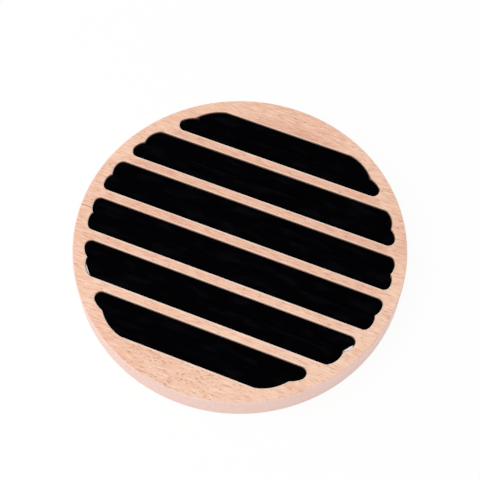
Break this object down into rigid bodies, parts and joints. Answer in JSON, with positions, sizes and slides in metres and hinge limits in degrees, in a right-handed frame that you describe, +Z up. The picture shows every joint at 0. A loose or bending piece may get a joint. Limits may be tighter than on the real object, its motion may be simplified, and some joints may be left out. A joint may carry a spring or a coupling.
{
  "type": "ring display tray",
  "caption": "Round wooden tray with parallel rounded pockets, each holding a lift-out pad of two velvet rolls that grip finger rings in the slit between them.",
  "frame": {"origin": "centre of the board's round underside", "axes": "+Z up; the rows and their slits run along X; -Y is the front, the side of row 6 that faces the viewer in the picture"},
  "size_m": [0.18, 0.18, 0.018],
  "materials": {
    "beech": "satin, fine flecked grain along the rows, light peach beech",
    "black_velvet": "short-pile black velvet, matt with a faint sheen at grazing angles",
    "white_foam": "white open-cell foam, matt",
    "white_card": "stiff white card, matt"
  },
  "bodies": {
    "tray": {"tray_board": "beech"},
    "pad_row_1": {"card_row_1": "white_card", "foam_far_row_1": "white_foam", "velvet_far_row_1": "black_velvet", "foam_near_row_1": "white_foam", "velvet_near_row_1": "black_velvet"},
    "pad_row_2": {"card_row_2": "white_card", "foam_far_row_2": "white_foam", "velvet_far_row_2": "black_velvet", "foam_near_row_2": "white_foam", "velvet_near_row_2": "black_velvet"},
    "pad_row_3": {"card_row_3": "white_card", "foam_far_row_3": "white_foam", "velvet_far_row_3": "black_velvet", "foam_near_row_3": "white_foam", "velvet_near_row_3": "black_velvet"},
    "pad_row_4": {"card_row_4": "white_card", "foam_far_row_4": "white_foam", "velvet_far_row_4": "black_velvet", "foam_near_row_4": "white_foam", "velvet_near_row_4": "black_velvet"},
    "pad_row_5": {"card_row_5": "white_card", "foam_far_row_5": "white_foam", "velvet_far_row_5": "black_velvet", "foam_near_row_5": "white_foam", "velvet_near_row_5": "black_velvet"},
    "pad_row_6": {"card_row_6": "white_card", "foam_far_row_6": "white_foam", "velvet_far_row_6": "black_velvet", "foam_near_row_6": "white_foam", "velvet_near_row_6": "black_velvet"}
  },
  "joints": [
    {"name": "lift_row_1", "type": "slide", "parent": "tray", "child": "pad_row_1", "axis": [0, 0, 1], "range_m": [0, 0.025]},
    {"name": "lift_row_2", "type": "slide", "parent": "tray", "child": "pad_row_2", "axis": [0, 0, 1], "range_m": [0, 0.025]},
    {"name": "lift_row_3", "type": "slide", "parent": "tray", "child": "pad_row_3", "axis": [0, 0, 1], "range_m": [0, 0.025]},
    {"name": "lift_row_4", "type": "slide", "parent": "tray", "child": "pad_row_4", "axis": [0, 0, 1], "range_m": [0, 0.025]},
    {"name": "lift_row_5", "type": "slide", "parent": "tray", "child": "pad_row_5", "axis": [0, 0, 1], "range_m": [0, 0.025]},
    {"name": "lift_row_6", "type": "slide", "parent": "tray", "child": "pad_row_6", "axis": [0, 0, 1], "range_m": [0, 0.025]}
  ]
}
